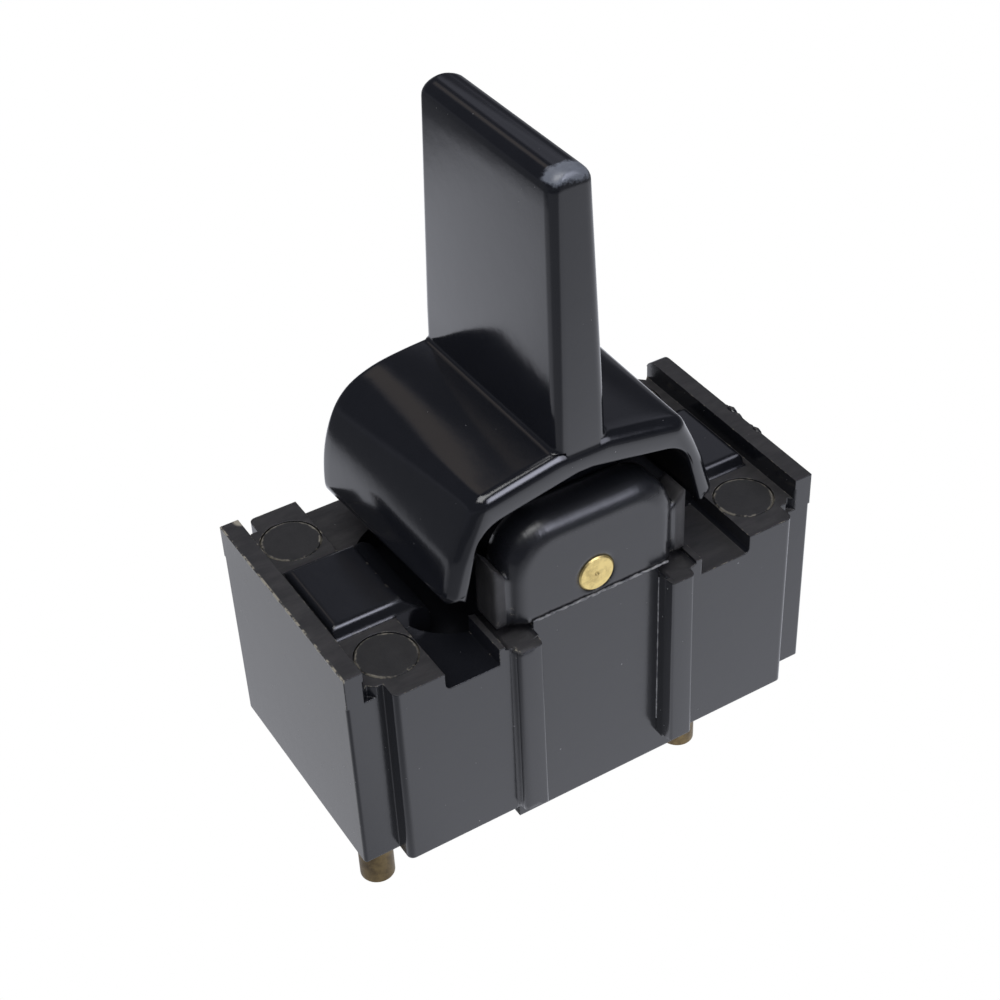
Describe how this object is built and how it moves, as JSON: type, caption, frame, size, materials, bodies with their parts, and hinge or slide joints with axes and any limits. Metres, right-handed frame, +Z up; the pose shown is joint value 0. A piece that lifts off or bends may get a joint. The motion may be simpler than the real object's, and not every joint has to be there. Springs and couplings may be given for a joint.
{
  "type": "convertible top switch",
  "caption": "Rocker switch: a tall flat paddle on an arched saddle pivots over a moulded housing and slides a contact carriage above round brass terminals.",
  "frame": {"origin": "middle of the overall box, on the plane of the terminal tips", "axes": "+X along the housing, -Y out of the front wall, +Z up through the lever at rest"},
  "size_m": [0.04, 0.024, 0.0558],
  "materials": {
    "moulded_black": "glossy",
    "lever_black": "glossy",
    "plug_black": "matt",
    "fibre": "matt",
    "brass": "satin",
    "steel": "satin"
  },
  "bodies": {
    "case": {"housing": "moulded_black", "base_plate": "fibre", "base_screws": "steel", "plug_front_left": "plug_black", "plug_front_right": "plug_black", "plug_rear_left": "plug_black", "plug_rear_right": "plug_black", "pivot_pin": "brass", "centring_spring": "steel", "terminal_front_outer": "brass", "terminal_front_inner": "brass", "terminal_rear_outer": "brass", "terminal_rear_inner": "brass", "terminal_common": "brass", "strap_front_outer": "brass", "strap_front_inner": "brass", "strap_rear_outer": "brass", "strap_rear_inner": "brass", "strap_common": "brass"},
    "lever": {"lever": "lever_black", "drive_pin": "steel"},
    "carriage": {"carriage": "fibre", "bridge_front": "brass", "bridge_rear": "brass", "bridge_spring_front": "steel", "bridge_spring_rear": "steel"}
  },
  "joints": [
    {"name": "lever_pivot", "type": "hinge", "parent": "case", "child": "lever", "pos_m": [0, 0, 0.0246], "axis": [0, 1, 0], "range_deg": [-10, 10], "stiffness_Nm_per_rad": 0.13, "deforming": ["centring_spring"]},
    {"name": "carriage_slide", "type": "slide", "parent": "case", "child": "carriage", "axis": [1, 0, 0], "range_m": [-0.0018, 0.0018]}
  ],
  "couplings": [
    {"joint": "carriage_slide", "follows": "lever_pivot", "m_per_rad": -0.01005}
  ]
}
